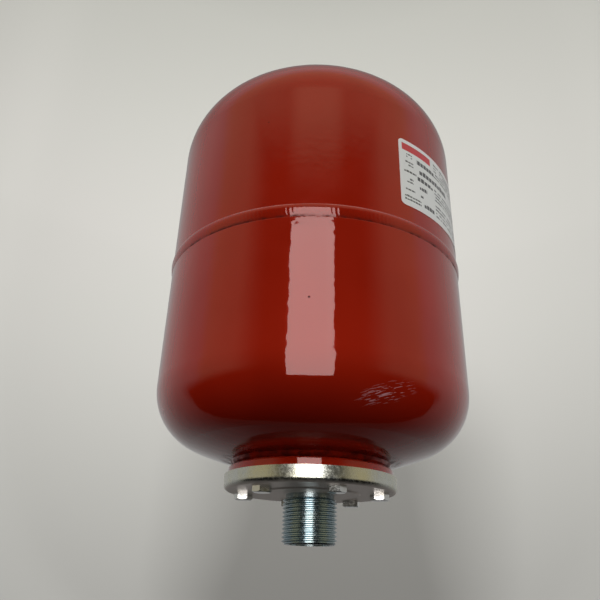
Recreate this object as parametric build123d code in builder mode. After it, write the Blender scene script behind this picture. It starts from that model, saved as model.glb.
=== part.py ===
"""Membrane expansion vessel of the 8 litre class with a replaceable bladder.

The axis of the vessel is Z. The origin is the centre of the end face of the threaded
nipple, which points down, and the domed upper shell with the gas valve is on top.
All sizes are in millimetres.
"""

from build123d import *
from math import acos, cos, degrees, radians, sin, sqrt, tan
import os

os.makedirs("parts", exist_ok=True)

# ---------------------------------------------------------------- driving dimensions
vessel_radius = 100.0
wall = 1.2

thread_radius = 33.249 / 2  # G1 pipe thread, major radius
thread_pitch = 25.4 / 11
thread_depth = 0.6403 * thread_pitch
nipple_bore_radius = 12.6
nipple_length = 29.3  # end face to the underside of the flange
nipple_neck = 3.3  # plain neck between the thread and the flange

flange_radius = 53.3
flange_height = 9.0  # pressed rim included
flange_wall = 1.8
flange_clearance = 0.3  # between the rim and the ring inside it
emboss_radius = 31.0
emboss_depth = 0.8

collar_thickness = 2.5
ring_thickness = 9.3
ring_bore_radius = 34.0
seat_radius = 45.6  # flat seat of the lower shell on the ring
shell_opening_radius = 36.5

bolt_circle_radius = 42.5
bolt_count = 6
first_bolt_angle = -10.0
bolt_radius = 2.95
bolt_length = 12.0
bolt_head_height = 4.0
bolt_across_flats = 10.0

bottom_knuckle_radius = 36.0
bottom_crown_radius = 215.0
bottom_knuckle_z = 88.3
dish_end_radius = 50.0

top_knuckle_radius = 50.0
top_crown_radius = 160.0
top_knuckle_z = 263.0

seam_z = 170.5  # lower edge of the upper shell
lap_length = 9.5
lap_gap = 0.05
bead_top_z = 175.1
bead_bottom_z = 166.2
bead_height = 1.2

thread_fit = 0.05  # radial gap between a plain drawn thread and the hole that holds it

valve_seat_radius = 13.0

# ---------------------------------------------------------------- derived levels
flange_face_z = nipple_length
flange_inner_z = flange_face_z + flange_wall
rim_top_z = flange_face_z + flange_height
ring_bottom_z = flange_inner_z + collar_thickness
ring_top_z = ring_bottom_z + ring_thickness
ring_radius = flange_radius - flange_wall - flange_clearance
thread_top_z = nipple_length - nipple_neck


def crown_centre_z(knuckle_z, knuckle_radius, crown_radius, side):
    """Height of the crown arc's centre on the axis; side is +1 for a top, -1 for a bottom."""
    reach = vessel_radius - knuckle_radius
    return knuckle_z - side * sqrt((crown_radius - knuckle_radius) ** 2 - reach**2)


def crown_height(radius, knuckle_z, knuckle_radius, crown_radius, side):
    """Height of the outer crown surface at this distance from the axis."""
    centre_z = crown_centre_z(knuckle_z, knuckle_radius, crown_radius, side)
    return centre_z + side * sqrt(crown_radius**2 - radius**2)


def knuckle_span(knuckle_radius, crown_radius):
    """Angle that the knuckle turns through before it meets the crown arc."""
    return degrees(acos((vessel_radius - knuckle_radius) / (crown_radius - knuckle_radius)))


def save(piece, name):
    """Label a finished piece and write its STEP file."""
    piece.part.label = name
    export_step(piece.part, f"parts/{name}.step")


def head_outline(knuckle_z, knuckle_radius, crown_radius, side, inset, edge_radius):
    """Knuckle and crown arcs of a pressed head, from its cylinder in to edge_radius.

    The crown stays where it is on the axis and every radius shrinks by inset, which gives
    the inside of the wall. Returns the crown arc's inner end.
    """
    centre_z = crown_centre_z(knuckle_z, knuckle_radius, crown_radius, side)
    knuckle_turn = knuckle_span(knuckle_radius, crown_radius)
    edge_turn = degrees(acos(edge_radius / (crown_radius - inset)))
    CenterArc(
        (vessel_radius - knuckle_radius, knuckle_z), knuckle_radius - inset, 0, side * knuckle_turn
    )
    crown = CenterArc(
        (0, centre_z), crown_radius - inset, side * knuckle_turn, side * (edge_turn - knuckle_turn)
    )
    return crown @ 1


top = (top_knuckle_z, top_knuckle_radius, top_crown_radius, 1)
bottom = (bottom_knuckle_z, bottom_knuckle_radius, bottom_crown_radius, -1)
valve_seat_z = crown_height(valve_seat_radius, *top)

# ---------------------------------------------------------------- upper shell
stem_hole_radius = 5.2
open_end = 5.0  # the inside of a section runs this far past the shell's open edge


def upper_outline(inset, base_z):
    """Half section of the upper shell's outside (inset 0) or inside (inset wall)."""
    seat_z = valve_seat_z - inset
    rise = seat_z - crown_centre_z(*top)
    edge = head_outline(*top, inset, sqrt((top_crown_radius - inset) ** 2 - rise**2))
    Polyline(
        edge,
        (stem_hole_radius, seat_z),
        (stem_hole_radius, base_z),
        (vessel_radius - inset, base_z),
        (vessel_radius - inset, top_knuckle_z),
    )


with BuildPart() as upper_shell:
    with BuildSketch(Plane.XZ):
        with BuildLine():
            upper_outline(0, seam_z)
        make_face()
        with BuildLine():
            upper_outline(wall, seam_z - open_end)
        make_face(mode=Mode.SUBTRACT)
    revolve(axis=Axis.Z)
save(upper_shell, "upper_shell")

# ---------------------------------------------------------------- lower shell
lap_top_z = seam_z + lap_length
lap_bottom_z = seam_z - 0.5  # the wall steps in from the bead's lower edge up to here
lap_radius = vessel_radius - wall - lap_gap
dish_shift = 0.5  # the inside's corners sit this much nearer the axis than the outside's


def lower_outline(inset, top_z):
    """Half section of the lower shell's outside (inset 0) or inside (inset wall)."""
    shift = dish_shift * inset / wall
    edge = head_outline(*bottom, inset, dish_end_radius - shift)
    Polyline(
        edge,
        (seat_radius - shift, ring_top_z + inset),
        (shell_opening_radius, ring_top_z + inset),
        (shell_opening_radius, top_z),
        (lap_radius - inset, top_z),
        (lap_radius - inset, lap_bottom_z),
        (vessel_radius - inset, bead_bottom_z),
        (vessel_radius - inset, bottom_knuckle_z),
    )


with BuildPart() as lower_shell:
    with BuildSketch(Plane.XZ):
        with BuildLine():
            lower_outline(0, lap_top_z)
        make_face()
        with BuildLine():
            lower_outline(wall, lap_top_z + open_end)
        make_face(mode=Mode.SUBTRACT)
    revolve(axis=Axis.Z)
save(lower_shell, "lower_shell")

# ---------------------------------------------------------------- girth weld
bead_crest_z = bead_top_z - 3.0
bead_shoulder = (vessel_radius + 0.72 * bead_height, bead_top_z - 1.3)
bead_taper = (vessel_radius + 0.66 * bead_height, (bead_crest_z + bead_bottom_z) / 2)

with BuildPart() as girth_weld:
    with BuildSketch(Plane.XZ):
        with BuildLine():
            crest = (vessel_radius + bead_height, bead_crest_z)
            ThreePointArc((vessel_radius, bead_top_z), bead_shoulder, crest)
            ThreePointArc(crest, bead_taper, (vessel_radius, bead_bottom_z))
            Polyline(
                (vessel_radius, bead_bottom_z),
                (lap_radius, lap_bottom_z),
                (lap_radius, seam_z),
                (vessel_radius, seam_z),
                (vessel_radius, bead_top_z),
            )
        make_face()
    revolve(axis=Axis.Z)
save(girth_weld, "girth_weld")

# ---------------------------------------------------------------- counter flange
bolt_places = dict(radius=bolt_circle_radius, count=bolt_count, start_angle=first_bolt_angle)
ring_edge = 0.8
hub_radius = shell_opening_radius - 0.1
hub_top_z = ring_top_z + wall + 1.0

with BuildPart() as counter_flange:
    with BuildSketch(Plane.XY.offset(ring_bottom_z)):
        Circle(ring_radius)
        Circle(ring_bore_radius, mode=Mode.SUBTRACT)
    extrude(amount=ring_thickness)
    chamfer(counter_flange.edges().filter_by(GeomType.CIRCLE), ring_edge)
    # the hub stands up inside the shell's opening
    with BuildSketch(Plane.XY.offset(ring_top_z - ring_edge)):
        Circle(hub_radius)
        Circle(ring_bore_radius, mode=Mode.SUBTRACT)
    extrude(amount=hub_top_z - ring_top_z + ring_edge)
    with BuildSketch(Plane.XY.offset(ring_bottom_z)):
        with PolarLocations(**bolt_places):
            Circle(bolt_radius + thread_fit)
    extrude(amount=ring_thickness, mode=Mode.SUBTRACT)
save(counter_flange, "counter_flange")

# ---------------------------------------------------------------- counter flange weld
weld_crest = (dish_end_radius - 0.5, ring_top_z + 1.4)

with BuildPart() as counter_flange_weld:
    with BuildSketch(Plane.XZ):
        with BuildLine():
            toe = (ring_radius - ring_edge, ring_top_z)
            dish_toe = (dish_end_radius, crown_height(dish_end_radius, *bottom))
            Polyline(dish_toe, (seat_radius, ring_top_z), toe)
            ThreePointArc(toe, weld_crest, dish_toe)
        make_face()
    revolve(axis=Axis.Z)
save(counter_flange_weld, "counter_flange_weld")

# ---------------------------------------------------------------- flange plate
rim_bend = 3.0  # outer radius of the bend from the face to the rim
face_radius = flange_radius - rim_bend
emboss_slope = 1.2
nipple_hole_radius = 15.0
bolt_hole_radius = 3.3


def flange_outline(inset):
    """Half section of the pressed cup's outside (inset 0) or inside (inset flange_wall)."""
    face_z = flange_face_z + inset
    bend = rim_bend - inset
    rim = flange_radius - inset
    Polyline(
        (nipple_hole_radius, face_z - emboss_depth),
        (emboss_radius - emboss_slope, face_z - emboss_depth),
        (emboss_radius, face_z),
        (face_radius, face_z),
    )
    CenterArc((face_radius, face_z + bend), bend, -90, 90)
    Polyline(
        (rim, face_z + bend),
        (rim, rim_top_z + inset),
        (nipple_hole_radius, rim_top_z + inset),
        (nipple_hole_radius, face_z - emboss_depth),
    )


with BuildPart() as flange_plate:
    with BuildSketch(Plane.XZ):
        with BuildLine():
            flange_outline(0)
        make_face()
        with BuildLine():
            flange_outline(flange_wall)
        make_face(mode=Mode.SUBTRACT)
    revolve(axis=Axis.Z)
    with BuildSketch(Plane.XY.offset(flange_face_z)):
        with PolarLocations(**bolt_places):
            Circle(bolt_hole_radius)
    extrude(amount=flange_wall, mode=Mode.SUBTRACT)
save(flange_plate, "flange_plate")

# ---------------------------------------------------------------- connection nipple
neck_radius = 14.9
thread_chamfer = thread_radius - neck_radius
crest_width = thread_pitch / 6
root_width = thread_pitch / 6
groove_width = thread_pitch - crest_width
plate_centre_z = flange_face_z - emboss_depth
nipple_top_z = plate_centre_z + flange_wall + 1.2
thread_start_angle = 90.0
groove_over = 0.3  # how far the groove's cutter stands out of the crest
groove_runout = 1.1 + thread_pitch  # how far the cutter runs on past the thread
flank_slope = (groove_width - root_width) / 2 / thread_depth

with BuildPart() as thread_groove:
    with BuildLine():
        groove_path = Helix(
            pitch=thread_pitch,
            height=thread_top_z + groove_runout,
            radius=thread_radius,
            center=(0, 0, -thread_pitch),
        )
    with BuildSketch(Plane(groove_path @ 0, x_dir=(1, 0, 0), z_dir=groove_path % 0)):
        wide = groove_width / 2 + groove_over * flank_slope
        Polygon(
            (groove_over, wide),
            (groove_over, -wide),
            (-thread_depth, -root_width / 2),
            (-thread_depth, root_width / 2),
            align=None,
        )
    sweep(path=groove_path, is_frenet=True)

with BuildPart() as connection_nipple:
    with BuildSketch(Plane.XZ):
        with BuildLine():
            Polyline(
                (nipple_bore_radius, 0),
                (neck_radius, 0),
                (thread_radius, thread_chamfer),
                (thread_radius, thread_top_z - thread_chamfer / 2),
                (neck_radius, thread_top_z),
                (neck_radius, nipple_top_z),
                (nipple_bore_radius, nipple_top_z),
                close=True,
            )
        make_face()
    revolve(axis=Axis.Z)
    add(thread_groove.part.rotate(Axis.Z, thread_start_angle), mode=Mode.SUBTRACT)
save(connection_nipple, "connection_nipple")

# ---------------------------------------------------------------- nipple weld
weld_leg = 2.2
weld_face = (neck_radius + 0.62 * weld_leg, plate_centre_z + flange_wall + 0.7)

with BuildPart() as nipple_weld:
    with BuildSketch(Plane.XZ):
        with BuildLine():
            corner = (neck_radius, plate_centre_z + flange_wall)
            plate_toe = (neck_radius + weld_leg, corner[1])
            nipple_toe = (neck_radius, nipple_top_z)
            Polyline(nipple_toe, corner, plate_toe)
            ThreePointArc(plate_toe, weld_face, nipple_toe)
        make_face()
    revolve(axis=Axis.Z)
save(nipple_weld, "nipple_weld")

# ---------------------------------------------------------------- flange bolts
head_corner_radius = bolt_across_flats / 2 / cos(radians(30))
head_face_radius = 0.47 * bolt_across_flats
bolt_tip_chamfer = 0.6
head_chamfer = (head_corner_radius - head_face_radius) * tan(radians(30))
bolt_turn = 23.0  # each head stands turned this much further than the last

with BuildPart() as bolt:
    with BuildSketch(Plane.XY.offset(-bolt_head_height)):
        RegularPolygon(bolt_across_flats / 2, 6, major_radius=False)
    extrude(amount=bolt_head_height)
    with BuildSketch(Plane.XZ):
        with BuildLine():
            Polyline(
                (0, -bolt_head_height),
                (head_face_radius, -bolt_head_height),
                (head_corner_radius, head_chamfer - bolt_head_height),
                (head_corner_radius, 0),
                (0, 0),
                close=True,
            )
        make_face()
    revolve(axis=Axis.Z, mode=Mode.INTERSECT)
    with BuildSketch(Plane.XY):
        Circle(bolt_radius)
    extrude(amount=bolt_length)
    chamfer(bolt.edges().group_by(Axis.Z)[-1], bolt_tip_chamfer)

flange_bolts = Compound(
    children=[
        place * Rot(Z=bolt_turn * turn) * bolt.part
        for turn, place in enumerate(
            Plane.XY.offset(flange_face_z) * PolarLocations(**bolt_places)
        )
    ]
)
flange_bolts.label = "flange_bolts"
export_step(flange_bolts, "parts/flange_bolts.step")

# ---------------------------------------------------------------- bladder
bladder_wall = 2.0
collar_radius = 39.0
bladder_neck_radius = 33.0
bladder_radius = 90.0
bladder_floor_z = 60.0
bladder_top_z = 262.0


def bladder_outline(inset, base_z):
    """Half section of the rubber bag's outside (inset 0) or inside (inset bladder_wall)."""
    neck = bladder_neck_radius - inset
    top_z = bladder_top_z - inset
    FilletPolyline(
        (neck, base_z),
        (neck, bladder_floor_z + inset),
        (bladder_radius - inset, bladder_floor_z + inset),
        (bladder_radius - inset, top_z),
        (0, top_z),
        radius=(8 + inset, 24 - inset, 60 - inset),
    )
    Polyline((0, top_z), (0, base_z), (neck, base_z))


with BuildPart() as bladder:
    with BuildSketch(Plane.XZ):
        with BuildLine():
            bladder_outline(0, flange_inner_z)
        make_face()
        with Locations(((bladder_neck_radius + collar_radius) / 2, flange_inner_z)):
            Rectangle(
                collar_radius - bladder_neck_radius + 1.0,
                collar_thickness,
                align=(Align.CENTER, Align.MIN),
            )
        with BuildLine():
            bladder_outline(bladder_wall, flange_inner_z - 1.0)
        make_face(mode=Mode.SUBTRACT)
    revolve(axis=Axis.Z)
save(bladder, "bladder")

# ---------------------------------------------------------------- rating label
label_width = 100.0
label_height = 50.0
label_thickness = 0.15
label_corner = 3.0
label_bottom_z = 186.0
label_left_angle = -59.2
label_span = degrees(label_width / vessel_radius)
label_plane = Plane(
    origin=(0, 0, label_bottom_z + label_height / 2),
    x_dir=(0, 0, 1),
    z_dir=Vector(1, 0, 0).rotate(Axis.Z, label_left_angle + label_span / 2),
)
label_chord = 2 * vessel_radius * sin(radians(label_span / 2))

with BuildPart() as rating_label:
    with BuildSketch(Plane.XY.offset(label_bottom_z)):
        Circle(vessel_radius + label_thickness)
        Circle(vessel_radius, mode=Mode.SUBTRACT)
    extrude(amount=label_height)
    with BuildSketch(label_plane):
        RectangleRounded(label_height, label_chord, label_corner)
    extrude(amount=vessel_radius + 10, mode=Mode.INTERSECT)
save(rating_label, "rating_label")

# ---------------------------------------------------------------- gas valve
stem_top_z = 343.0
stem_base_radius = 9.5
stem_base_height = 2.0
gasket_height = 2.0
gasket_radius = 9.0
clamp_thread_radius = 5.0
valve_thread_radius = 3.85
valve_thread_pitch = 25.4 / 32
clamp_thread_top_z = 332.0
core_bore_radius = 2.65
inlet_radius = 1.6
inlet_height = 3.0
inlet_cone = 1.0
clamp_tip = 0.8  # chamfer at the end of the clamping thread
valve_tip = 0.6  # chamfer at the end of the valve thread

gasket_top_z = valve_seat_z - wall
gasket_bottom_z = gasket_top_z - gasket_height
stem_bottom_z = gasket_bottom_z - stem_base_height

washer_height = 1.5
washer_radius = 10.0
washer_gap = 0.3
washer_edge = 0.3
nut_height = 5.0
nut_across_flats = 14.0
washer_top_z = valve_seat_z + washer_height
nut_top_z = washer_top_z + nut_height


def turned(name, points):
    """A plain turned piece: its half section revolved about the vessel's axis."""
    with BuildPart() as piece:
        with BuildSketch(Plane.XZ):
            with BuildLine():
                Polyline(*points, close=True)
            make_face()
        revolve(axis=Axis.Z)
    save(piece, name)


def ring_points(inner, outer, low_z, high_z):
    """Corners of a plain ring's half section."""
    return ((inner, low_z), (outer, low_z), (outer, high_z), (inner, high_z))


turned("valve_gasket", ring_points(stem_hole_radius, gasket_radius, gasket_bottom_z, gasket_top_z))
turned(
    "valve_stem",
    (
        (inlet_radius, stem_bottom_z),
        (stem_base_radius, stem_bottom_z),
        (stem_base_radius, gasket_bottom_z),
        (clamp_thread_radius, gasket_bottom_z),
        (clamp_thread_radius, clamp_thread_top_z - clamp_tip),
        (clamp_thread_radius - clamp_tip, clamp_thread_top_z),
        (valve_thread_radius, clamp_thread_top_z),
        (valve_thread_radius, stem_top_z - valve_tip),
        (valve_thread_radius - valve_tip, stem_top_z),
        (core_bore_radius, stem_top_z),
        (core_bore_radius, stem_bottom_z + inlet_height + inlet_cone),
        (inlet_radius, stem_bottom_z + inlet_height),
    ),
)

with BuildPart() as valve_washer:
    with BuildSketch(Plane.XY.offset(valve_seat_z)):
        Circle(washer_radius)
        Circle(clamp_thread_radius + washer_gap, mode=Mode.SUBTRACT)
    extrude(amount=washer_height)
    top_edges = valve_washer.edges().group_by(Axis.Z)[-1]
    chamfer(top_edges.sort_by(SortBy.RADIUS)[-1], washer_edge)
save(valve_washer, "valve_washer")

nut_corner_radius = nut_across_flats / 2 / cos(radians(30))
nut_chamfer = 0.6
nut_chamfer_width = 1.7 * nut_chamfer
nut_bore_radius = clamp_thread_radius + thread_fit

with BuildPart() as valve_nut:
    with BuildSketch(Plane.XY.offset(washer_top_z)):
        RegularPolygon(nut_across_flats / 2, 6, major_radius=False)
    extrude(amount=nut_height)
    with BuildSketch(Plane.XZ):
        with BuildLine():
            Polyline(
                (nut_bore_radius, washer_top_z),
                (nut_corner_radius, washer_top_z),
                (nut_corner_radius, nut_top_z - nut_chamfer),
                (nut_corner_radius - nut_chamfer_width, nut_top_z),
                (nut_bore_radius, nut_top_z),
                close=True,
            )
        make_face()
    revolve(axis=Axis.Z, mode=Mode.INTERSECT)
save(valve_nut, "valve_nut")

# the core's barrel, its soft ring, the sprung pin and the washer that closes it
pin_radius = 0.8
pin_top_z = stem_top_z - 0.2
pin_bottom_z = stem_top_z - 19.0
barrel_radius = core_bore_radius - thread_fit
barrel_foot_radius = barrel_radius - 0.3
barrel_top_z = stem_top_z - 1.5
barrel_bottom_z = stem_top_z - 14.5
cavity_radius = 1.9
cavity_bottom_z = stem_top_z - 10.0
cavity_top_z = stem_top_z - 3.2
groove_bottom_z = stem_top_z - 12.5
groove_top_z = stem_top_z - 11.0
pin_bore_radius = pin_radius + thread_fit

turned(
    "valve_core_body",
    (
        (pin_bore_radius, barrel_bottom_z),
        (barrel_foot_radius, barrel_bottom_z),
        (barrel_foot_radius, groove_bottom_z),
        (cavity_radius, groove_bottom_z),
        (cavity_radius, groove_top_z),
        (barrel_radius, groove_top_z),
        (barrel_radius, barrel_top_z),
        (pin_bore_radius, barrel_top_z),
        (pin_bore_radius, cavity_top_z),
        (cavity_radius, cavity_top_z),
        (cavity_radius, cavity_bottom_z),
        (pin_bore_radius, cavity_bottom_z),
    ),
)
turned(
    "valve_core_seal",
    ring_points(cavity_radius, core_bore_radius, groove_bottom_z, groove_top_z),
)

pin_collar_radius = 1.75
pin_collar_top_z = cavity_top_z - 0.3
pin_collar_height = 0.6
seal_height = 1.0
seal_top_z = barrel_bottom_z - 0.05
seal_bottom_z = seal_top_z - seal_height
seal_disc_bottom_z = seal_bottom_z - 0.8
pin_tip = 0.2

turned(
    "valve_core_pin",
    (
        (0, pin_bottom_z),
        (pin_radius, pin_bottom_z),
        (pin_radius, seal_disc_bottom_z),
        (cavity_radius, seal_disc_bottom_z),
        (cavity_radius, seal_bottom_z),
        (pin_radius, seal_bottom_z),
        (pin_radius, pin_collar_top_z - pin_collar_height),
        (pin_collar_radius, pin_collar_top_z - pin_collar_height),
        (pin_collar_radius, pin_collar_top_z),
        (pin_radius, pin_collar_top_z),
        (pin_radius, pin_top_z - pin_tip),
        (pin_radius - pin_tip, pin_top_z),
        (0, pin_top_z),
    ),
)
turned("valve_pin_seal", ring_points(pin_radius, cavity_radius, seal_bottom_z, seal_top_z))

spring_wire_radius = 0.2
spring_radius = 1.4
spring_turns = 6
spring_end = spring_wire_radius + 0.02  # from the end coil's middle to what it bears on
spring_bottom_z = cavity_bottom_z + spring_end
spring_top_z = pin_collar_top_z - pin_collar_height - spring_end

with BuildPart() as valve_core_spring:
    with BuildLine():
        coil = Helix(
            pitch=(spring_top_z - spring_bottom_z) / spring_turns,
            height=spring_top_z - spring_bottom_z,
            radius=spring_radius,
            center=(0, 0, spring_bottom_z),
        )
    with BuildSketch(Plane(coil @ 0, z_dir=coil % 0)):
        Circle(spring_wire_radius)
    sweep(path=coil, is_frenet=True)
save(valve_core_spring, "valve_core_spring")

# ---------------------------------------------------------------- dust cap
cap_turns = 7
cap_lift = cap_turns * valve_thread_pitch
cap_radius = 5.0
cap_bottom_z = stem_top_z - cap_lift
cap_top_z = stem_top_z + 3.0
cap_edge = 0.8
cap_fit = 0.1
cap_inner_radius = valve_thread_radius + cap_fit
cap_seal_bottom_z = stem_top_z + cap_fit
cap_seal_top_z = cap_seal_bottom_z + 1.2
cap_ribs = 18
cap_rib_depth = 0.35

with BuildPart() as dust_cap:
    with BuildSketch(Plane.XY.offset(cap_bottom_z)):
        Circle(cap_radius)
        with PolarLocations(cap_radius, cap_ribs):
            Circle(cap_rib_depth, mode=Mode.SUBTRACT)
    extrude(amount=cap_top_z - cap_bottom_z)
    with BuildSketch(Plane.XZ):
        with BuildLine():
            Polyline(
                (0, cap_bottom_z),
                (cap_radius, cap_bottom_z),
                (cap_radius, cap_top_z - cap_edge),
                (cap_radius - cap_edge, cap_top_z),
                (0, cap_top_z),
                close=True,
            )
        make_face()
    revolve(axis=Axis.Z, mode=Mode.INTERSECT)
    with BuildSketch(Plane.XY.offset(cap_bottom_z)):
        Circle(cap_inner_radius)
    extrude(amount=cap_seal_top_z + cap_fit - cap_bottom_z, mode=Mode.SUBTRACT)
save(dust_cap, "dust_cap")
turned("dust_cap_seal", ring_points(0, valve_thread_radius, cap_seal_bottom_z, cap_seal_top_z))

# ---------------------------------------------------------------- valve cover
cover_radius = 17.0
cover_wall = 1.8
cover_top_z = 354.0
cover_bottom_z = valve_seat_z + 0.4
cover_edge = 4.0
cover_flutes = 24
flute_radius = 1.2
flute_circle_radius = cover_radius + 0.6 * flute_radius
flute_bottom_z = cover_bottom_z + 4.0
sleeve_inner_radius = nut_corner_radius + thread_fit
sleeve_wall = 1.2
sleeve_bottom_z = washer_top_z + 0.5

with BuildPart() as valve_cover:
    with BuildSketch(Plane.XY.offset(cover_bottom_z)):
        Circle(cover_radius)
    extrude(amount=cover_top_z - cover_bottom_z)
    fillet(valve_cover.edges().group_by(Axis.Z)[-1], cover_edge)
    with BuildSketch(Plane.XY.offset(flute_bottom_z)):
        with PolarLocations(flute_circle_radius, cover_flutes):
            Circle(flute_radius)
    extrude(amount=cover_top_z - cover_bottom_z, mode=Mode.SUBTRACT)
    with BuildSketch(Plane.XY.offset(cover_bottom_z)):
        Circle(cover_radius - cover_wall)
    extrude(amount=cover_top_z - cover_wall - cover_bottom_z, mode=Mode.SUBTRACT)
    with BuildSketch(Plane.XY.offset(sleeve_bottom_z)):
        Circle(sleeve_inner_radius + sleeve_wall)
        Circle(sleeve_inner_radius, mode=Mode.SUBTRACT)
    extrude(amount=cover_top_z - cover_wall - sleeve_bottom_z)
save(valve_cover, "valve_cover")
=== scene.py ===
"""Looks of the expansion vessel: paint, plating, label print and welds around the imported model.

All lengths are in metres, in the row frame: the vessel's axis is Z and the nipple's end face is at
the origin. The label faces -Y and +X, and the camera looks up at the flange end from -Y.
"""

import math
import random

import bpy
from mathutils import Matrix, Vector


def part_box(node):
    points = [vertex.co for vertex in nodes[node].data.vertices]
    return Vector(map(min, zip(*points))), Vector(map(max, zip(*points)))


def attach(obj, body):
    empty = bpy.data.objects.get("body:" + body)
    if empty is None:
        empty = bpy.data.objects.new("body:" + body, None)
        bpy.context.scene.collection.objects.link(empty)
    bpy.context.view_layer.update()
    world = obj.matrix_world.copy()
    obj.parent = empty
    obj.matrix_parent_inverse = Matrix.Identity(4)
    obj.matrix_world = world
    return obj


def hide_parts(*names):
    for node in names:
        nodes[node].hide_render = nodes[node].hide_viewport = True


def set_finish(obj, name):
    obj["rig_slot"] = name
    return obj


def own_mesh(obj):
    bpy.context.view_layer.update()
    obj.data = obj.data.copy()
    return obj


MM = 0.001

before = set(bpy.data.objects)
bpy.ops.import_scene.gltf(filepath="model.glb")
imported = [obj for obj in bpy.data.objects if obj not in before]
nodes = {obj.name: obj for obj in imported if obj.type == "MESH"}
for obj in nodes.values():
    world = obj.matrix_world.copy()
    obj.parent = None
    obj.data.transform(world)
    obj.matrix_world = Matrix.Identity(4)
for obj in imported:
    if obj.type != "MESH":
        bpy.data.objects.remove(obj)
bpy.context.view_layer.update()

bead_low, bead_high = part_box("girth_weld")
ring_low, ring_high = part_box("counter_flange")
ring_weld_low, ring_weld_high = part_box("counter_flange_weld")
label_low, label_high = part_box("rating_label")
body_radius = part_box("upper_shell")[1].x
bead_proud = bead_high.x - body_radius


# ---------------------------------------------------------------- camera
def make_camera():
    """A phone's wide view from just under the nipple's level, looking up along the body."""
    pitch, yaw, roll = math.radians(25.2), math.radians(-1.5), math.radians(1.73)
    forward = Vector(
        (math.sin(yaw) * math.cos(pitch), math.cos(yaw) * math.cos(pitch), math.sin(pitch))
    )
    level = Vector((math.cos(yaw), -math.sin(yaw), 0))
    right = Matrix.Rotation(-roll, 3, forward) @ level
    up = right.cross(forward)
    data = bpy.data.cameras.new("camera")
    data.sensor_width = 36
    data.lens = 34.9
    camera = bpy.data.objects.new("camera", data)
    bpy.context.scene.collection.objects.link(camera)
    turn = Matrix((right, up, -forward)).transposed()
    camera.matrix_world = Matrix.Translation((0, -0.3753, -0.0155)) @ turn.to_4x4()
    bpy.context.scene.camera = camera


# ---------------------------------------------------------------- node helpers
def new_material(name):
    """An empty node material with one Principled shader. Returns it, its tree and the shader."""
    material = bpy.data.materials.new(name)
    material.use_nodes = True
    tree = material.node_tree
    tree.nodes.clear()
    output = tree.nodes.new("ShaderNodeOutputMaterial")
    shader = tree.nodes.new("ShaderNodeBsdfPrincipled")
    tree.links.new(shader.outputs["BSDF"], output.inputs["Surface"])
    return material, tree, shader


def feed(tree, socket, value):
    """Link value to the socket if it is another socket, or set it as the socket's own value."""
    if isinstance(value, bpy.types.NodeSocket):
        tree.links.new(value, socket)
    elif value is not None:
        socket.default_value = value


def math_node(tree, operation, *values, clamp=False):
    made = tree.nodes.new("ShaderNodeMath")
    made.operation = operation
    made.use_clamp = clamp
    for socket, value in zip(made.inputs, values):
        feed(tree, socket, value)
    return made.outputs[0]


def steps(tree, value, low, high, from_value=0.0, to_value=1.0, smooth=True):
    """Goes from from_value to to_value while value goes from low to high."""
    made = tree.nodes.new("ShaderNodeMapRange")
    made.interpolation_type = "SMOOTHSTEP" if smooth else "LINEAR"
    for name, number in (
        ("Value", value),
        ("From Min", low),
        ("From Max", high),
        ("To Min", from_value),
        ("To Max", to_value),
    ):
        feed(tree, made.inputs[name], number)
    return made.outputs["Result"]


def mix_colors(tree, share, first, second):
    made = tree.nodes.new("ShaderNodeMix")
    made.data_type = "RGBA"
    feed(tree, made.inputs[0], share)
    feed(tree, made.inputs[6], (*first, 1) if isinstance(first, tuple) else first)
    feed(tree, made.inputs[7], (*second, 1) if isinstance(second, tuple) else second)
    return made.outputs[2]


def mix_floats(tree, share, first, second):
    made = tree.nodes.new("ShaderNodeMix")
    made.data_type = "FLOAT"
    feed(tree, made.inputs[0], share)
    feed(tree, made.inputs[2], first)
    feed(tree, made.inputs[3], second)
    return made.outputs[0]


def places(tree):
    """The point being shaded, in the row frame."""
    return tree.nodes.new("ShaderNodeTexCoord").outputs["Object"]


def stretched(tree, vector, scale):
    made = tree.nodes.new("ShaderNodeMapping")
    feed(tree, made.inputs["Vector"], vector)
    made.inputs["Scale"].default_value = scale
    return made.outputs["Vector"]


def noise(tree, vector, size, detail=3.0, roughness=0.5):
    """Soft noise, 0 to 1, whose features are about size metres across."""
    made = tree.nodes.new("ShaderNodeTexNoise")
    feed(tree, made.inputs["Vector"], vector)
    made.inputs["Scale"].default_value = 1 / size
    made.inputs["Detail"].default_value = detail
    made.inputs["Roughness"].default_value = roughness
    return made.outputs[0]


def axes(tree, vector):
    made = tree.nodes.new("ShaderNodeSeparateXYZ")
    feed(tree, made.inputs[0], vector)
    return made.outputs


def from_point(tree, vector, point):
    """Distance from a point in the row frame."""
    made = tree.nodes.new("ShaderNodeVectorMath")
    made.operation = "DISTANCE"
    feed(tree, made.inputs[0], vector)
    made.inputs[1].default_value = point
    return made.outputs["Value"]


def bump(tree, height, depth, normal=None):
    """Relief of this depth in metres from a height of 0 to 1."""
    made = tree.nodes.new("ShaderNodeBump")
    made.inputs["Distance"].default_value = depth
    feed(tree, made.inputs["Height"], height)
    feed(tree, made.inputs["Normal"], normal)
    return made.outputs["Normal"]


def around(tree, vector):
    """Angle about the vessel's axis from -Y towards +X in radians, and the height."""
    x, y, z = axes(tree, vector)
    return math_node(tree, "ARCTAN2", x, math_node(tree, "MULTIPLY", y, -1.0)), z


def inside(tree, value, low, high, edge=0.06):
    """1 between low and high, and 0 outside."""
    rise = steps(tree, value, low - edge, low + edge)
    fall = steps(tree, value, high - edge, high + edge, 1, 0)
    return math_node(tree, "MULTIPLY", rise, fall)


def block(tree, u, v, left, right, bottom, top):
    return math_node(tree, "MULTIPLY", inside(tree, u, left, right), inside(tree, v, bottom, top))


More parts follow.
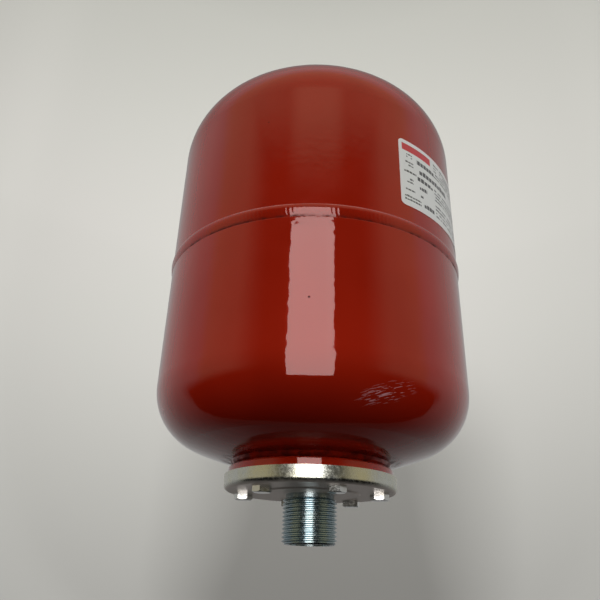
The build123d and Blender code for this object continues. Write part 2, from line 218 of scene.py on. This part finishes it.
def from_axis(tree, x, y):
    """Length of (x, y), such as a point's distance from the vessel's axis."""
    squares = [math_node(tree, "MULTIPLY", value, value) for value in (x, y)]
    return math_node(tree, "SQRT", math_node(tree, "ADD", *squares))


# ---------------------------------------------------------------- mesh helpers
def band_faces(turns, rows, first=0):
    """Quads between neighbouring columns of points, closed all round, from vertex first on."""
    faces = []
    for turn in range(turns):
        here, there = first + turn * rows, first + (turn + 1) % turns * rows
        faces += [(here + i, here + i + 1, there + i + 1, there + i) for i in range(rows - 1)]
    return faces


def smooth_object(name, vertices, faces):
    mesh = bpy.data.meshes.new(name)
    mesh.from_pydata(vertices, [], faces)
    mesh.polygons.foreach_set("use_smooth", [True] * len(faces))
    mesh.update()
    made = bpy.data.objects.new(name, mesh)
    bpy.context.scene.collection.objects.link(made)
    return made


# ---------------------------------------------------------------- red paint
RED_LIGHT = (0.40, 0.016, 0.004)
RED_DEEP = (0.35, 0.013, 0.003)
RED_DARK = (0.16, 0.006, 0.003)
# painted shade: the colour that darkens the paint in crevices and in gaps between parts
RED_CREVICE_SHADE = (0.055, 0.004, 0.003)
SPECK = (0.01, 0.006, 0.005)
SCUFF_PINK = (0.72, 0.36, 0.38)
# painted highlight: a pale pink line along the top edge of a weld bead
LIP_HIGHLIGHT_PINK = (0.55, 0.13, 0.10)
# centre, reach and lean of each patch of scrapes
SCUFFS = (
    ((0.039, -0.087, 0.0695), 0.0195, 0.30),
    ((-0.030, 0.094, 0.105), 0.018, -0.30),
    ((-0.090, -0.030, 0.070), 0.014, 0.20),
)
# place and radius of each dark speck
SPECKS = (
    ((-0.0025, -0.1000, 0.1161), 0.8 * MM),
    ((0.0620, 0.0785, 0.1320), 0.7 * MM),
    ((-0.0760, 0.0650, 0.2150), 0.6 * MM),
    ((-0.0300, -0.0954, 0.2380), 0.5 * MM),
    ((0.0985, 0.0170, 0.1010), 0.6 * MM),
)


def scuff_mask(tree, point, centre, reach, lean):
    """Short scrapes near a point: thin streaks along a leaning line, gone at its reach."""
    local = tree.nodes.new("ShaderNodeMapping")
    local.vector_type = "TEXTURE"
    feed(tree, local.inputs["Vector"], point)
    local.inputs["Location"].default_value = centre
    local.inputs["Rotation"].default_value = (0, -lean, 0)
    local.inputs["Scale"].default_value = (reach, reach, 0.27 * reach)
    place = local.outputs["Vector"]
    near = steps(tree, from_point(tree, place, (0, 0, 0)), 1.1, 0.35)
    streaks = noise(tree, stretched(tree, place, (1, 1, 3.2)), 0.32, detail=4, roughness=0.55)
    return math_node(tree, "MULTIPLY", near, steps(tree, streaks, 0.55, 0.62))


def red_paint(name, scuffed=False, shade_heights=None, highlight_heights=None):
    """Stoved gloss enamel over a deep red base, with orange peel.

    shade_heights is a pair of heights below which painted shade darkens the paint, in rough,
    patchy places that fade out between them, and highlight_heights a pair of heights between
    which a painted highlight runs along a lip.
    """
    material, tree, shader = new_material(name)
    point = places(tree)
    height = axes(tree, point)[2]
    cloud = noise(tree, point, 60 * MM, detail=2)
    grain = noise(tree, point, 0.7 * MM, detail=2)
    color = mix_colors(tree, steps(tree, cloud, 0.3, 0.7), RED_DEEP, RED_LIGHT)
    color = mix_colors(tree, steps(tree, grain, 0.55, 0.8, 0, 0.12), color, RED_DARK)
    rough = steps(tree, noise(tree, point, 15 * MM, detail=4), 0.3, 0.7, 0.05, 0.14)
    gloss = 1.0
    # painted shade: the paint turns dark below the given heights, in patches that are also rougher
    # and less glossy
    if shade_heights:
        shaded = steps(tree, height, shade_heights[0], shade_heights[1], 1, 0)
        patchy = steps(tree, noise(tree, point, 5 * MM, detail=5), 0.35, 0.65, 0.25, 0.9)
        crevice_shade = math_node(tree, "MULTIPLY", shaded, patchy)
        color = mix_colors(tree, crevice_shade, color, RED_CREVICE_SHADE)
        rough = math_node(tree, "ADD", rough, math_node(tree, "MULTIPLY", crevice_shade, 0.5))
        gloss = steps(tree, crevice_shade, 0, 1, 1, 0.1)
    # painted highlight: a broken pale pink line along the lip between the given heights
    if highlight_heights:
        lip = inside(tree, height, *highlight_heights, 0.15 * MM)
        broken = steps(tree, noise(tree, point, 8 * MM, detail=5), 0.36, 0.6, 0.2, 0.9)
        color = mix_colors(tree, math_node(tree, "MULTIPLY", lip, broken), color, LIP_HIGHLIGHT_PINK)
    for spot, size in SPECKS:
        dot = steps(tree, from_point(tree, point, spot), size, 0.6 * size, 0, 0.95)
        color = mix_colors(tree, dot, color, SPECK)
        gloss = math_node(tree, "SUBTRACT", gloss, dot, clamp=True)
    if scuffed:
        for centre, reach, lean in SCUFFS:
            mask = scuff_mask(tree, point, centre, reach, lean)
            color = mix_colors(tree, mask, color, SCUFF_PINK)
            rough = math_node(tree, "ADD", rough, math_node(tree, "MULTIPLY", mask, 0.3))
    peel = noise(tree, point, 4.5 * MM, detail=1.5, roughness=0.4)
    waves = noise(tree, point, 28 * MM, detail=1)
    relief = bump(tree, waves, 0.05 * MM)
    relief = bump(tree, peel, 0.04 * MM, relief)
    feed(tree, shader.inputs["Base Color"], color)
    feed(tree, shader.inputs["Roughness"], rough)
    feed(tree, shader.inputs["Normal"], relief)
    feed(tree, shader.inputs["Coat Normal"], relief)
    shader.inputs["Specular IOR Level"].default_value = 0.5
    shader.inputs["Specular Tint"].default_value = (0.6, 0.05, 0.03, 1)
    feed(tree, shader.inputs["Coat Weight"], gloss)
    shader.inputs["Coat Roughness"].default_value = 0.025
    shader.inputs["Coat IOR"].default_value = 1.5
    return material


# ---------------------------------------------------------------- metals, rubber and plastic
BOLT_CIRCLE = 42.5 * MM
BOLT_START = math.radians(-10)
BOLT_STEP = math.radians(60)
# painted shade: dark grey laid on the plate around each bolt head
ZINC_BOLT_SHADE = (0.16, 0.16, 0.15)
# painted reflection: a pinkish tint for the plate's underside
ZINC_UNDERSIDE_REFLECTION = (0.82, 0.75, 0.70)
ZINC_YELLOW = (0.74, 0.72, 0.52)
ZINC_BLUE = (0.46, 0.56, 0.62)
ZINC_DULL = (0.34, 0.35, 0.32)
BOLT_SHADE_REACH = (10 * MM, 6.5 * MM)  # from a bolt's centre, fading in
BOLT_SHADE_HEIGHTS = (34 * MM, 32 * MM)  # only on the plate's outer side
UNDERSIDE_HEIGHTS = (31 * MM, 29.5 * MM)  # where the plate's wall turns into its underside


def zinc(name, tint, rough, dapple=1.2 * MM, dapple_depth=0.02 * MM, film=0.5, bolted=False):
    """Bright zinc plating: a mirror broken by fine dapples, with a faint yellow-green film."""
    material, tree, shader = new_material(name)
    point = places(tree)
    patches = noise(tree, point, 9 * MM, detail=4, roughness=0.6)
    hue = mix_colors(tree, steps(tree, patches, 0.35, 0.65, 0, film), tint, ZINC_YELLOW)
    blue = noise(tree, stretched(tree, point, (1, 1, 0.4)), 17 * MM, detail=2)
    hue = mix_colors(tree, steps(tree, blue, 0.5, 0.75, 0, 0.6 * film), hue, ZINC_BLUE)
    stains = noise(tree, point, 2.2 * MM, detail=6, roughness=0.7)
    hue = mix_colors(tree, steps(tree, stains, 0.62, 0.78, 0, 0.35), hue, ZINC_DULL)
    roughness = steps(tree, stains, 0.3, 0.75, rough, rough + 0.16)
    if bolted:
        height = axes(tree, point)[2]
        # painted shade on the plate around each bolt head, only below the given heights
        bolt_shade = steps(tree, bolt_distance(tree, point), *BOLT_SHADE_REACH)
        bolt_shade = math_node(tree, "MULTIPLY", bolt_shade, steps(tree, height, *BOLT_SHADE_HEIGHTS))
        hue = mix_colors(tree, math_node(tree, "MULTIPLY", bolt_shade, 0.75), hue, ZINC_BOLT_SHADE)
        # painted reflection: the plate's underside is tinted pinkish, and made rougher
        under = steps(tree, height, *UNDERSIDE_HEIGHTS)
        hue = mix_colors(tree, under, hue, ZINC_UNDERSIDE_REFLECTION)
        roughness = math_node(tree, "ADD", roughness, math_node(tree, "MULTIPLY", under, 0.26))
    feed(tree, shader.inputs["Base Color"], hue)
    feed(tree, shader.inputs["Roughness"], roughness)
    relief = bump(tree, noise(tree, point, dapple, detail=2), dapple_depth)
    relief = bump(tree, noise(tree, point, 0.25 * MM, detail=2), 0.002 * MM, relief)
    feed(tree, shader.inputs["Normal"], relief)
    shader.inputs["Metallic"].default_value = 1.0
    return material


def bolt_distance(tree, point):
    """Distance in plan from the nearest of the six bolts' centres."""
    x, y, _ = axes(tree, point)
    radius = from_axis(tree, x, y)
    turn = math_node(tree, "SUBTRACT", math_node(tree, "ARCTAN2", y, x), BOLT_START)
    nearest = math_node(tree, "ROUND", math_node(tree, "DIVIDE", turn, BOLT_STEP))
    turn = math_node(tree, "SUBTRACT", turn, math_node(tree, "MULTIPLY", nearest, BOLT_STEP))
    ahead = math_node(tree, "MULTIPLY", radius, math_node(tree, "COSINE", turn))
    ahead = math_node(tree, "SUBTRACT", ahead, BOLT_CIRCLE)
    aside = math_node(tree, "MULTIPLY", radius, math_node(tree, "SINE", turn))
    spot = tree.nodes.new("ShaderNodeCombineXYZ")
    feed(tree, spot.inputs[0], ahead)
    feed(tree, spot.inputs[1], aside)
    return from_point(tree, spot.outputs[0], (0, 0, 0))


def turned_metal(name, light, dark, rough, ring=0.12 * MM):
    """Lathe-turned metal: fine rings about the vessel's axis, tarnished in patches."""
    material, tree, shader = new_material(name)
    point = places(tree)
    tarnish = noise(tree, point, 3 * MM, detail=5, roughness=0.6)
    color = mix_colors(tree, steps(tree, tarnish, 0.4, 0.75), light, dark)
    rings = noise(tree, stretched(tree, point, (0.02, 0.02, 1)), ring, detail=2)
    feed(tree, shader.inputs["Base Color"], color)
    feed(tree, shader.inputs["Roughness"], steps(tree, rings, 0.3, 0.7, rough, rough + 0.15))
    feed(tree, shader.inputs["Normal"], bump(tree, rings, 0.004 * MM))
    shader.inputs["Metallic"].default_value = 1.0
    return material


def moulded(name, light, dark, rough, grain, depth, coat=0.0):
    """Moulded rubber or plastic with a fine eroded texture and paler worn places."""
    material, tree, shader = new_material(name)
    point = places(tree)
    wear = noise(tree, point, 12 * MM, detail=5, roughness=0.65)
    color = mix_colors(tree, steps(tree, wear, 0.45, 0.8), dark, light)
    texture = noise(tree, point, grain, detail=3, roughness=0.6)
    feed(tree, shader.inputs["Base Color"], color)
    feed(tree, shader.inputs["Roughness"], steps(tree, wear, 0.3, 0.7, rough, rough + 0.12))
    feed(tree, shader.inputs["Normal"], bump(tree, texture, depth))
    shader.inputs["Coat Weight"].default_value = coat
    shader.inputs["Coat Roughness"].default_value = 0.3
    return material


# ---------------------------------------------------------------- label print
# lengths on the label are in millimetres from its lower left corner
LABEL_WIDTH = 100.0
LABEL_RIM = 1.3
RED_BAR = (2.6, 30, 41.8, 47.2)  # left, right, bottom, top
LABEL_RED = (0.72, 0.03, 0.04)
INK = (0.02, 0.02, 0.022)
# each area is left, right, bottom, top, then rows, word length,
# the share of words printed and a seed
PRINT = (
    ((6, 11, 36.5, 40.5), 2, 2.4, 0.95, 1),
    ((4.5, 12, 30, 34.5), 2, 2.4, 0.95, 2),
    ((3.5, 14, 24.5, 27.5), 1, 2.6, 1.0, 3),
    ((5.5, 11, 17, 21.5), 2, 2.6, 0.95, 4),
    ((4, 12, 11, 13.8), 1, 2.9, 0.95, 5),
    ((3, 17, 3.6, 8.4), 2, 2.3, 1.0, 6),
    ((15, 34, 34, 40), 1, 3.1, 1.0, 7),
    ((17, 52, 27, 33.4), 1, 3.4, 0.96, 8),
    ((15, 31, 21.6, 26.8), 1, 3.6, 1.0, 9),
    ((16.5, 24, 15.6, 20), 1, 2.6, 1.0, 10),
    ((17, 19.5, 10, 14), 1, 4.0, 1.0, 11),
    ((20, 31, 3.4, 8.6), 1, 2.8, 0.95, 12),
    ((33, 96, 16, 26), 4, 1.7, 0.86, 13),
    ((33, 96, 3.5, 14), 4, 1.5, 0.86, 14),
    ((34, 96, 35, 47), 5, 1.8, 0.82, 15),
)


def dummy_rows(tree, u, v, area, rows, word, fill, seed):
    """Rows of plain dashes that stand for print: no letters, only word-long blocks."""
    left, right, bottom, top = area
    pitch = (top - bottom) / rows
    rise = math_node(tree, "DIVIDE", math_node(tree, "SUBTRACT", v, bottom), pitch)
    run = math_node(tree, "DIVIDE", u, word)
    row, in_row = math_node(tree, "FLOOR", rise), math_node(tree, "FRACT", rise)
    cell, in_cell = math_node(tree, "FLOOR", run), math_node(tree, "FRACT", run)
    spot = tree.nodes.new("ShaderNodeCombineXYZ")
    feed(tree, spot.inputs[0], cell)
    feed(tree, spot.inputs[1], row)
    spot.inputs[2].default_value = seed
    chance = tree.nodes.new("ShaderNodeTexWhiteNoise")
    chance.noise_dimensions = "3D"
    feed(tree, chance.inputs["Vector"], spot.outputs[0])
    printed = math_node(tree, "LESS_THAN", chance.outputs["Value"], fill)
    top_edge = math_node(tree, "MULTIPLY_ADD", chance.outputs["Value"], 0.26, 0.58)
    bar = math_node(tree, "LESS_THAN", in_row, top_edge)
    bar = math_node(tree, "MULTIPLY", bar, math_node(tree, "GREATER_THAN", in_row, 0.24))
    dash = inside(tree, in_cell, 0.06, 0.9, 0.04)
    mask = math_node(tree, "MULTIPLY", bar, dash)
    mask = math_node(tree, "MULTIPLY", mask, printed)
    return math_node(tree, "MULTIPLY", mask, block(tree, u, v, left, right, bottom, top))


def label_film():
    """Silver-white rating plate film: a narrow white rim, one red bar, and dashes in columns."""
    material, tree, shader = new_material("label_film")
    point = places(tree)
    angle, height = around(tree, point)
    start = math.atan2(label_low.x, -label_low.y)
    arc = math_node(tree, "SUBTRACT", angle, start)
    u = math_node(tree, "MULTIPLY", arc, body_radius / MM)
    v = math_node(tree, "DIVIDE", math_node(tree, "SUBTRACT", height, label_low.z), MM)
    tall = (label_high.z - label_low.z) / MM
    grain = noise(tree, stretched(tree, point, (1, 1, 12)), 1.5 * MM, detail=4)
    silver = mix_colors(tree, grain, (0.84, 0.86, 0.84), (0.95, 0.96, 0.93))
    field = block(tree, u, v, LABEL_RIM, LABEL_WIDTH - LABEL_RIM, LABEL_RIM, tall - LABEL_RIM)
    color = mix_colors(tree, field, (0.95, 0.90, 0.88), silver)
    color = mix_colors(tree, block(tree, u, v, *RED_BAR), color, LABEL_RED)
    for area, rows, word, fill, seed in PRINT:
        mask = dummy_rows(tree, u, v, area, rows, word, fill, seed)
        color = mix_colors(tree, math_node(tree, "MULTIPLY", mask, 0.92), color, INK)
    feed(tree, shader.inputs["Base Color"], color)
    feed(tree, shader.inputs["Roughness"], steps(tree, grain, 0.3, 0.7, 0.30, 0.42))
    creases = bump(tree, noise(tree, point, 7 * MM, detail=2), 0.03 * MM)
    feed(tree, shader.inputs["Normal"], creases)
    shader.inputs["Coat Weight"].default_value = 0.5
    shader.inputs["Coat Roughness"].default_value = 0.15
    return material


# ---------------------------------------------------------------- weld beads
def weld_bead(name, replaced, outline, ripple, depth, segments, seed):
    """A ring of weld metal with arc ripples, in place of a plain CAD bead.

    outline holds (radius, height) points across the bead, from toe to toe.
    """
    draw = random.Random(seed)
    ring = 2 * math.pi * outline[len(outline) // 2][0]
    count = round(ring / ripple)
    swells = [(draw.randint(9, 60), draw.uniform(0, 2 * math.pi)) for _ in range(7)]
    middle = (len(outline) - 1) / 2
    vertices = []
    for turn in range(segments):
        angle = 2 * math.pi * turn / segments
        swell = sum(math.sin(k * angle + phase) for k, phase in swells) / len(swells)
        for place, (radius, height) in enumerate(outline):
            across = (place - middle) / middle
            lag = 1.1 * across * across  # ripples curve back towards the toes
            wave = math.sin(count * angle - lag * math.pi + 0.9 * swell)
            crown = 1 - across * across
            lift = depth * crown * (0.6 * wave + 0.9 * swell)
            vertices.append(
                ((radius + lift) * math.sin(angle), -(radius + lift) * math.cos(angle), height)
            )
    bead = smooth_object(name, vertices, band_faces(segments, len(outline)))
    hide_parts(replaced)
    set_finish(bead, "red_paint")
    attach(bead, "vessel")
    return bead


def girth_outline():
    """The seam's bead: steep above its crest, and a long taper below it."""
    toe_depth = 0.15 * MM
    crest = bead_high.z - 3.0 * MM
    points = []
    for step in range(6):
        share = step / 5
        rise = math.sin(share * math.pi / 2) ** 0.8
        points.append((bead_high.z + (crest - bead_high.z) * share, rise))
    for step in range(1, 10):
        share = step / 9
        points.append((crest + (bead_low.z - crest) * share, math.cos(share * math.pi / 2)))
    proud = bead_proud - 0.25 * MM
    return [(body_radius - toe_depth + (proud + toe_depth) * rise, z) for z, rise in points]


def ring_weld_outline():
    """The fillet deep in the gap between the counter flange's ring and the dished bottom."""
    foot = Vector((ring_high.x - 5.4 * MM, ring_weld_low.z - 0.05 * MM))
    top = Vector((ring_weld_high.x - 0.1 * MM, ring_weld_high.z))
    along = (top - foot).normalized()
    out = Vector((along.y, -along.x))
    count = 9
    points = []
    for step in range(count):
        share = step / (count - 1)
        spot = foot.lerp(top, share) + out * (0.9 * math.sin(share * math.pi) - 0.1) * MM
        points.append((spot.x, spot.y))
    return points


# ---------------------------------------------------------------- stage
STAGE_SIDES = 144
PALE_COOL = (0.52, 0.52, 0.485)
PALE_WARM = (0.54, 0.525, 0.50)
# painted shade and light: the sweep is darker on the floor and lighter towards the top of its wall
PALE_FLOOR_SHADED = (0.28, 0.28, 0.265)
PALE_TOP_LIT = (0.66, 0.66, 0.61)
DOME_LOW, DOME_HIGH = 0.055, 1.16  # diffuse light from below and from above


def make_sweep():
    """A pale floor that curves up into a wall all round: close behind the vessel, far in front."""
    floor_z, curve, wall_top = -0.06, 0.62, 4.0
    near, far = 0.12, 2.6
    profile = [(0, 0)]
    profile += [
        (curve * math.sin(math.radians(a)), curve * (1 - math.cos(math.radians(a))))
        for a in range(5, 95, 5)
    ]
    profile.append((curve, wall_top - floor_z))
    vertices = [(0, 0, floor_z)]
    for step in range(STAGE_SIDES):
        angle = 2 * math.pi * step / STAGE_SIDES  # from +Y, straight behind the vessel
        turned = min(angle, 2 * math.pi - angle) / math.pi
        share = min(max((turned - 0.25) / 0.6, 0), 1)
        flat_end = near + (far - near) * share * share * (3 - 2 * share)
        vertices += [
            ((flat_end + out) * math.sin(angle), (flat_end + out) * math.cos(angle), floor_z + up)
            for out, up in profile
        ]
    rows = len(profile)
    faces = [
        (0, 1 + step * rows, 1 + (step + 1) % STAGE_SIDES * rows) for step in range(STAGE_SIDES)
    ]
    faces += band_faces(STAGE_SIDES, rows, first=1)
    sweep = smooth_object("sweep", vertices, faces)
    material, tree, shader = new_material("pale_sweep")
    point = places(tree)
    height = axes(tree, point)[2]
    tone = mix_colors(tree, noise(tree, point, 0.3, detail=3), PALE_COOL, PALE_WARM)
    # painted shade low on the sweep and painted light high on its wall, as linear ramps with height
    tone = mix_colors(tree, steps(tree, height, floor_z, 0.6, smooth=False), PALE_FLOOR_SHADED, tone)
    tone = mix_colors(tree, steps(tree, height, 0.6, 1.3, smooth=False), tone, PALE_TOP_LIT)
    feed(tree, shader.inputs["Base Color"], tone)
    shader.inputs["Roughness"].default_value = 0.9
    shader.inputs["Specular IOR Level"].default_value = 0.1
    sweep.data.materials.append(material)
    sweep.visible_glossy = False
    sweep.visible_diffuse = False
    sweep.visible_shadow = False
    return sweep


def area_light(name, place, target, width, height, power, **seen_by):
    data = bpy.data.lights.new(name, "AREA")
    data.shape = "RECTANGLE"
    data.size, data.size_y = width, height
    data.energy = power
    light = bpy.data.objects.new(name, data)
    light.location = place
    aim = Vector(target) - Vector(place)
    light.rotation_mode = "QUATERNION"
    light.rotation_quaternion = aim.to_track_quat("-Z", "Y")
    bpy.context.scene.collection.objects.link(light)
    light.visible_camera = False
    for kind, seen in seen_by.items():
        setattr(light, "visible_" + kind, seen)
    return light


def make_world():
    """A soft studio: what the gloss reflects, what lights the diffuse side, and a plain ground.

    Reflections see dim walls, a dark stretch beside the window light in front, a pale table
    behind and below, and nothing under the front.
    """
    world = bpy.data.worlds.new("studio")
    bpy.context.scene.world = world
    world.use_nodes = True
    tree = world.node_tree
    tree.nodes.clear()
    toward = tree.nodes.new("ShaderNodeTexCoord").outputs["Generated"]
    x, y, z = axes(tree, toward)
    ahead = math_node(tree, "DIVIDE", math_node(tree, "MULTIPLY", y, -1.0), from_axis(tree, x, y))
    walls = steps(tree, ahead, 0.84, 0.52, 0.02, 0.32)
    ceiling = steps(tree, z, 0.60, 0.70, 0, 0.30)
    haze = math_node(
        tree, "MULTIPLY", steps(tree, ahead, 0.90, 0.99, 0, 0.28), steps(tree, z, 0.56, 0.66)
    )
    haze = math_node(tree, "MULTIPLY", haze, steps(tree, z, 0.68, 0.82, 1, 0))
    room = math_node(tree, "ADD", math_node(tree, "MAXIMUM", walls, ceiling), haze)
    room = math_node(tree, "MULTIPLY", room, steps(tree, z, -0.30, -0.02))
    table = steps(tree, z, -0.75, 0.05, 0.03, 0.34, smooth=False)
    table = math_node(tree, "MULTIPLY", table, steps(tree, z, 0.45, 0.85, 1, 0.6))
    edge = math_node(tree, "ADD", math_node(tree, "MULTIPLY", y, 1.8), z)
    table = math_node(tree, "MULTIPLY", table, steps(tree, edge, -0.02, 0.02))
    glossy = mix_floats(tree, steps(tree, y, 0.10, 0.32), room, table)
    diffuse = steps(tree, z, -0.10, 0.14, DOME_LOW, DOME_HIGH)
    diffuse = math_node(tree, "MULTIPLY", diffuse, steps(tree, z, 0.6, 0.95, 1, 0.45))
    ground = steps(tree, z, -0.15, 0.25, 0.42, 0.60)
    rays = tree.nodes.new("ShaderNodeLightPath").outputs
    level = mix_floats(tree, rays["Is Glossy Ray"], diffuse, glossy)
    level = mix_floats(tree, rays["Is Camera Ray"], level, ground)
    in_room = math_node(tree, "MULTIPLY", rays["Is Glossy Ray"], steps(tree, y, 0.0, -0.2))
    hue = mix_colors(tree, in_room, (1.0, 0.99, 0.975), (1.1, 0.98, 0.66))
    background = tree.nodes.new("ShaderNodeBackground")
    feed(tree, background.inputs["Color"], hue)
    feed(tree, background.inputs["Strength"], level)
    output = tree.nodes.new("ShaderNodeOutputWorld")
    tree.links.new(background.outputs[0], output.inputs["Surface"])


def make_lights(sweep):
    """One tall window light behind the camera, and a wash for the sweep that shadows the vessel."""
    width, height = 0.67, 1.416
    distance, middle = 1.2, 0.198
    radiance = 4.2
    window = area_light(
        "window",
        (-0.04, -distance, middle),
        (-0.04, 0, middle),
        width,
        height,
        radiance * math.pi * width * height,
        diffuse=False,
    )
    window.data.color = (1.0, 0.96, 0.93)
    side, power = 0.18, 6.6
    wash = area_light("wash", (-0.04, -0.6, 0.35), (0, 0.6, 0.5), side, side, power, glossy=False)
    wash.data.spread = math.radians(120)
    lit = bpy.data.collections.new("lit_by_wash")
    lit.objects.link(sweep)
    wash.light_linking.receiver_collection = lit


# ---------------------------------------------------------------- put together
FINISHES = {
    "upper_shell": lambda: red_paint("red_upper"),
    # painted shade darkens the lower shell's dish next to the counter flange
    "lower_shell": lambda: red_paint("red_lower", scuffed=True, shade_heights=(0.0455, 0.0495)),
    # painted shade darkens the ring's lowest 2 mm, next to the flange plate
    "counter_flange": lambda: red_paint("red_ring", shade_heights=(ring_low.z, ring_low.z + 2 * MM)),
    "flange_plate": lambda: zinc(
        "zinc_pressed", (0.72, 0.73, 0.66), 0.18, 1.0 * MM, 0.04 * MM, bolted=True
    ),
    "connection_nipple": lambda: zinc("zinc_thread", (0.38, 0.47, 0.51), 0.16, 0.8 * MM, film=0.15),
    "nipple_weld": lambda: zinc("zinc_weld", (0.60, 0.61, 0.57), 0.28, 0.6 * MM, 0.05 * MM),
    "flange_bolts": lambda: zinc("zinc_bolts", (0.80, 0.81, 0.80), 0.12, 1.0 * MM, film=0.25),
    "valve_washer": lambda: zinc("zinc_washer", (0.76, 0.77, 0.74), 0.15, film=0.3),
    "rating_label": label_film,
    "bladder": lambda: moulded(
        "butyl_bag", (0.035, 0.034, 0.033), (0.016, 0.016, 0.016), 0.55, 0.8 * MM, 0.03 * MM
    ),
    "valve_gasket": lambda: moulded(
        "gasket_rubber", (0.04, 0.04, 0.04), (0.02, 0.02, 0.02), 0.6, 0.4 * MM, 0.02 * MM
    ),
    "valve_core_seal": lambda: moulded(
        "core_seal_rubber", (0.30, 0.05, 0.03), (0.22, 0.03, 0.02), 0.5, 0.3 * MM, 0.01 * MM
    ),
    "valve_pin_seal": lambda: moulded(
        "pin_seal_rubber", (0.04, 0.04, 0.04), (0.02, 0.02, 0.02), 0.5, 0.3 * MM, 0.01 * MM
    ),
    "dust_cap_seal": lambda: moulded(
        "cap_seal_rubber", (0.05, 0.05, 0.05), (0.02, 0.02, 0.02), 0.6, 0.3 * MM, 0.01 * MM
    ),
    "valve_stem": lambda: turned_metal("brass_stem", (0.80, 0.60, 0.28), (0.48, 0.32, 0.13), 0.22),
    "valve_nut": lambda: turned_metal("brass_nut", (0.83, 0.64, 0.32), (0.55, 0.38, 0.16), 0.20),
    "valve_core_body": lambda: turned_metal(
        "brass_core", (0.78, 0.60, 0.30), (0.50, 0.35, 0.16), 0.26
    ),
    "valve_core_pin": lambda: turned_metal(
        "brass_pin", (0.82, 0.66, 0.36), (0.56, 0.42, 0.20), 0.18
    ),
    "valve_core_spring": lambda: turned_metal(
        "spring_wire", (0.62, 0.62, 0.61), (0.38, 0.38, 0.38), 0.25, 0.05 * MM
    ),
    "dust_cap": lambda: moulded(
        "cap_plastic", (0.045, 0.045, 0.048), (0.018, 0.018, 0.02), 0.34, 0.5 * MM, 0.012 * MM, 0.2
    ),
    "valve_cover": lambda: moulded(
        "cover_plastic", (0.05, 0.05, 0.053), (0.02, 0.02, 0.022), 0.36, 0.6 * MM, 0.015 * MM, 0.2
    ),
}


def dress_nodes():
    """Give each carried-over CAD node its own finish."""
    for name, make in FINISHES.items():
        slots = nodes[name].material_slots
        material = make()
        if slots:
            for entry in slots:
                entry.material = material
        else:
            nodes[name].data.materials.append(material)


def add_welds():
    """The two uneven beads of painted weld, in place of the plain CAD ones."""
    girth = weld_bead(
        "girth_bead", "girth_weld", girth_outline(), 2.6 * MM, 0.035 * MM, 2160, seed=4
    )
    girth.data.materials.append(
        red_paint(
            "red_girth_bead",
            # painted shade along the bead's lower toe
            shade_heights=(bead_low.z + 0.3 * MM, bead_low.z + 2.4 * MM),
            # a painted highlight along the bead's top edge
            highlight_heights=(bead_high.z - 0.9 * MM, bead_high.z - 0.2 * MM),
        )
    )
    ring = weld_bead(
        "flange_bead", "counter_flange_weld", ring_weld_outline(), 2.2 * MM, 0.05 * MM, 1080, seed=9
    )
    ring.data.materials.append(
        # painted shade: the bead darkens in the gap between the ring and the dished bottom
        red_paint("red_flange_bead", shade_heights=(ring_high.z, ring_high.z + 9 * MM))
    )


def add_spring():
    """The core's spring: a copy of the CAD spring on the vessel, in place of the CAD node."""
    spring = bpy.data.objects.new("core_spring", nodes["valve_core_spring"].data.copy())
    bpy.context.scene.collection.objects.link(spring)
    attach(spring, "vessel")
    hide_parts("valve_core_spring")
    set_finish(spring, "spring_steel")
    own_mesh(spring)


make_camera()
make_world()
make_lights(make_sweep())
dress_nodes()
add_welds()
add_spring()
nodes["nipple_weld"]["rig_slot"] = "zinc_plate"

bpy.context.scene.view_settings.view_transform = "Standard"
